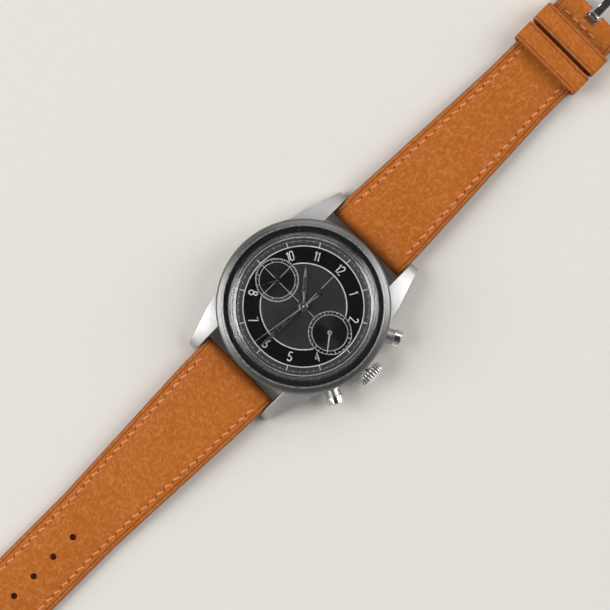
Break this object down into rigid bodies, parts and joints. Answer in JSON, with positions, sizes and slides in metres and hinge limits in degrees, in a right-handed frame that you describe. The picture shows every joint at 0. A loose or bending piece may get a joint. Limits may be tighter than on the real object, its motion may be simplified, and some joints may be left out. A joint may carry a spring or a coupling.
{
  "type": "chronograph wristwatch",
  "caption": "Hand-wound chronograph wristwatch: steel case, domed crystal, side crown and pushers over a geared movement, on a tan leather strap with keepers and a pin buckle.",
  "frame": {"origin": "on the dial's axis, at the flat of the case back", "axes": "+Z out of the dial, +Y to 12 o'clock along the strap, +X to 3 o'clock, where the crown is"},
  "size_m": [0.0412, 0.235, 0.0128],
  "materials": {
    "case_steel": "brushed",
    "polished_steel": "polished, lightly worn",
    "movement_steel": "satin",
    "gilt_brass": "gilt",
    "nickel_brass": "nickel-plated satin",
    "black_dial": "black lacquer, gloss and matte zones",
    "acrylic": "clear polished acrylic",
    "gasket_rubber": "matte",
    "tan_leather": "pebbled tan calf with orange saddle stitching"
  },
  "bodies": {
    "case": {"case_middle": "case_steel", "bezel": "polished_steel", "crystal": "acrylic", "crystal_seat_ring": "black_dial", "case_back": "case_steel", "case_back_gasket": "gasket_rubber", "crown_tube": "movement_steel", "pusher_tube_start": "movement_steel", "pusher_tube_reset": "movement_steel", "lug_spring_bar_12": "movement_steel", "lug_spring_bar_6": "movement_steel", "dial": "black_dial", "mainplate": "nickel_brass", "train_bridge": "nickel_brass", "barrel_bridge": "nickel_brass", "pallet_cock": "nickel_brass", "balance_cock": "nickel_brass", "chronograph_bridge": "nickel_brass"},
    "minute_arbor": {"centre_wheel": "gilt_brass", "cannon_pinion": "movement_steel", "minute_hand": "polished_steel"},
    "hour_arbor": {"hour_wheel": "gilt_brass", "hour_hand": "polished_steel"},
    "minute_wheel": {"minute_wheel": "gilt_brass"},
    "barrel": {"barrel": "gilt_brass", "mainspring": "movement_steel"},
    "barrel_arbor": {"barrel_arbor": "movement_steel", "ratchet_wheel": "movement_steel"},
    "third_wheel": {"third_wheel": "gilt_brass"},
    "fourth_wheel": {"fourth_wheel": "gilt_brass", "small_seconds_hand": "black_dial"},
    "escape_wheel": {"escape_wheel": "gilt_brass"},
    "pallet_fork": {"pallet_fork": "movement_steel"},
    "balance": {"balance_wheel": "gilt_brass", "hairspring": "movement_steel"},
    "winding_pinion": {"winding_pinion": "movement_steel"},
    "sliding_pinion": {"sliding_pinion": "movement_steel"},
    "crown": {"crown": "polished_steel", "winding_stem": "movement_steel"},
    "crown_wheel": {"crown_wheel": "movement_steel"},
    "transfer_wheel": {"transfer_wheel": "movement_steel"},
    "click": {"click": "movement_steel"},
    "pusher_start": {"pusher_start": "polished_steel"},
    "pusher_reset": {"pusher_reset": "polished_steel"},
    "operating_lever": {"operating_lever": "movement_steel"},
    "reset_hammer": {"reset_hammer": "movement_steel"},
    "column_wheel": {"column_wheel": "movement_steel"},
    "coupling_lever": {"coupling_lever": "movement_steel"},
    "coupling_wheel": {"coupling_wheel": "gilt_brass"},
    "sweep_arbor": {"chronograph_wheel": "gilt_brass", "sweep_hand": "polished_steel"},
    "minute_counter": {"minute_counter_wheel": "gilt_brass", "minute_counter_hand": "polished_steel"},
    "strap_12": {"strap_buckle_side": "tan_leather", "keeper_fixed": "tan_leather"},
    "strap_6": {"strap_tail_side": "tan_leather"},
    "keeper_free": {"keeper_free": "tan_leather"},
    "buckle": {"buckle_frame": "polished_steel", "buckle_spring_bar": "movement_steel"},
    "buckle_tongue": {"buckle_tongue": "polished_steel"}
  },
  "joints": [
    {"name": "minute_hand_turn", "type": "hinge", "parent": "case", "child": "minute_arbor", "pos_m": [0, 0, 0.006], "axis": [0, 0, -1], "continuous": true},
    {"name": "hour_hand_turn", "type": "hinge", "parent": "case", "child": "hour_arbor", "pos_m": [0, 0, 0.007], "axis": [0, 0, -1], "continuous": true},
    {"name": "minute_wheel_turn", "type": "hinge", "parent": "case", "child": "minute_wheel", "pos_m": [0, 0.0036, 0.0065], "axis": [0, 0, -1], "continuous": true},
    {"name": "barrel_turn", "type": "hinge", "parent": "case", "child": "barrel", "pos_m": [0.00252, 0.00577, 0.0046], "axis": [0, 0, -1], "continuous": true},
    {"name": "third_wheel_turn", "type": "hinge", "parent": "case", "child": "third_wheel", "pos_m": [-0.00469, -0.00219, 0.004], "axis": [0, 0, -1], "continuous": true},
    {"name": "small_seconds_turn", "type": "hinge", "parent": "case", "child": "fourth_wheel", "pos_m": [-0.008, 0, 0.004], "axis": [0, 0, -1], "continuous": true},
    {"name": "escape_wheel_turn", "type": "hinge", "parent": "case", "child": "escape_wheel", "pos_m": [-0.00913, -0.0031, 0.004], "axis": [0, 0, -1], "continuous": true},
    {"name": "pallet_swing", "type": "hinge", "parent": "case", "child": "pallet_fork", "pos_m": [-0.00726, -0.00532, 0.0049], "axis": [0, 0, 1], "range_deg": [-8, 8]},
    {"name": "balance_swing", "type": "hinge", "parent": "case", "child": "balance", "pos_m": [-0.00527, -0.0077, 0.004], "axis": [0, 0, 1], "range_deg": [-270, 270], "stiffness_Nm_per_rad": 0.0000006},
    {"name": "crown_turn", "type": "hinge", "parent": "case", "child": "winding_pinion", "pos_m": [0.0131, 0, 0.0043], "axis": [1, 0, 0], "continuous": true},
    {"name": "crown_pull", "type": "slide", "parent": "winding_pinion", "child": "crown", "axis": [1, 0, 0], "range_m": [0, 0.001]},
    {"name": "sliding_pinion_shift", "type": "slide", "parent": "winding_pinion", "child": "sliding_pinion", "axis": [-1, 0, 0], "range_m": [0, 0.0008]},
    {"name": "crown_wheel_turn", "type": "hinge", "parent": "case", "child": "crown_wheel", "pos_m": [0.0111, 0, 0.0025], "axis": [0, 0, 1], "continuous": true},
    {"name": "transfer_wheel_turn", "type": "hinge", "parent": "case", "child": "transfer_wheel", "pos_m": [0.00828, 0.00335, 0.0025], "axis": [0, 0, 1], "continuous": true},
    {"name": "ratchet_wheel_turn", "type": "hinge", "parent": "case", "child": "barrel_arbor", "pos_m": [0.00252, 0.00577, 0.003], "axis": [0, 0, 1], "continuous": true},
    {"name": "click_swing", "type": "hinge", "parent": "case", "child": "click", "pos_m": [-0.00215, 0.00847, 0.0025], "axis": [0, 0, 1], "range_deg": [0, 10], "stiffness_Nm_per_rad": 0.000001},
    {"name": "pusher_start_press", "type": "slide", "parent": "case", "child": "pusher_start", "axis": [-0.8988, -0.4384, 0], "range_m": [0, 0.0008], "stiffness_N_per_m": 1500, "springref_m": -0.0008},
    {"name": "pusher_reset_press", "type": "slide", "parent": "case", "child": "pusher_reset", "axis": [-0.8988, 0.4384, 0], "range_m": [0, 0.0008], "stiffness_N_per_m": 1500, "springref_m": -0.0008},
    {"name": "operating_lever_swing", "type": "hinge", "parent": "case", "child": "operating_lever", "pos_m": [0.0134, 0.0027, 0.0018], "axis": [0, 0, 1], "range_deg": [0, 14]},
    {"name": "reset_hammer_swing", "type": "hinge", "parent": "case", "child": "reset_hammer", "pos_m": [0.004, -0.0095, 0.0018], "axis": [0, 0, 1], "range_deg": [0, 7]},
    {"name": "column_wheel_turn", "type": "hinge", "parent": "case", "child": "column_wheel", "pos_m": [0.0076, 0.0098, 0.0018], "axis": [0, 0, 1], "continuous": true},
    {"name": "coupling_lever_swing", "type": "hinge", "parent": "case", "child": "coupling_lever", "pos_m": [-0.008, 0, 0.0015], "axis": [0, 0, -1], "range_deg": [0, 5.5]},
    {"name": "coupling_wheel_turn", "type": "hinge", "parent": "coupling_lever", "child": "coupling_wheel", "pos_m": [-0.00488, 0.00114, 0.0021], "axis": [0, 0, -1], "continuous": true},
    {"name": "sweep_hand_turn", "type": "hinge", "parent": "case", "child": "sweep_arbor", "pos_m": [0, 0, 0.005], "axis": [0, 0, -1], "continuous": true},
    {"name": "minute_counter_turn", "type": "hinge", "parent": "case", "child": "minute_counter", "pos_m": [0.008, 0, 0.005], "axis": [0, 0, -1], "continuous": true},
    {"name": "strap_12_swing", "type": "hinge", "parent": "case", "child": "strap_12", "pos_m": [0, 0.021, 0.003], "axis": [1, 0, 0], "range_deg": [-75, 30]},
    {"name": "strap_6_swing", "type": "hinge", "parent": "case", "child": "strap_6", "pos_m": [0, -0.021, 0.003], "axis": [-1, 0, 0], "range_deg": [-75, 30]},
    {"name": "keeper_slide", "type": "slide", "parent": "strap_12", "child": "keeper_free", "axis": [0, -1, 0], "range_m": [-0.0006, 0.0075]},
    {"name": "buckle_swing", "type": "hinge", "parent": "strap_12", "child": "buckle", "pos_m": [0, 0.0895, 0.002], "axis": [1, 0, 0], "range_deg": [-40, 40]},
    {"name": "tongue_swing", "type": "hinge", "parent": "buckle", "child": "buckle_tongue", "pos_m": [0, 0.0895, 0.002], "axis": [1, 0, 0], "range_deg": [0, 55]}
  ],
  "couplings": [
    {"joint": "hour_hand_turn", "follows": "minute_hand_turn", "ratio": 0.083333},
    {"joint": "minute_wheel_turn", "follows": "minute_hand_turn", "ratio": -0.33333},
    {"joint": "barrel_turn", "follows": "minute_hand_turn", "ratio": -0.16667},
    {"joint": "third_wheel_turn", "follows": "minute_hand_turn", "ratio": -8},
    {"joint": "small_seconds_turn", "follows": "minute_hand_turn", "ratio": 60},
    {"joint": "escape_wheel_turn", "follows": "minute_hand_turn", "ratio": -600},
    {"joint": "sliding_pinion_shift", "follows": "crown_pull", "ratio": 0.8},
    {"joint": "crown_wheel_turn", "follows": "crown_turn", "ratio": 0.70588},
    {"joint": "transfer_wheel_turn", "follows": "crown_turn", "ratio": -0.66667},
    {"joint": "ratchet_wheel_turn", "follows": "crown_turn", "ratio": 0.375},
    {"joint": "operating_lever_swing", "follows": "pusher_start_press", "rad_per_m": 290.07},
    {"joint": "reset_hammer_swing", "follows": "pusher_reset_press", "rad_per_m": 147.38},
    {"joint": "coupling_wheel_turn", "follows": "minute_hand_turn", "ratio": -101.25},
    {"joint": "minute_counter_turn", "follows": "sweep_hand_turn", "ratio": 0.033333}
  ]
}
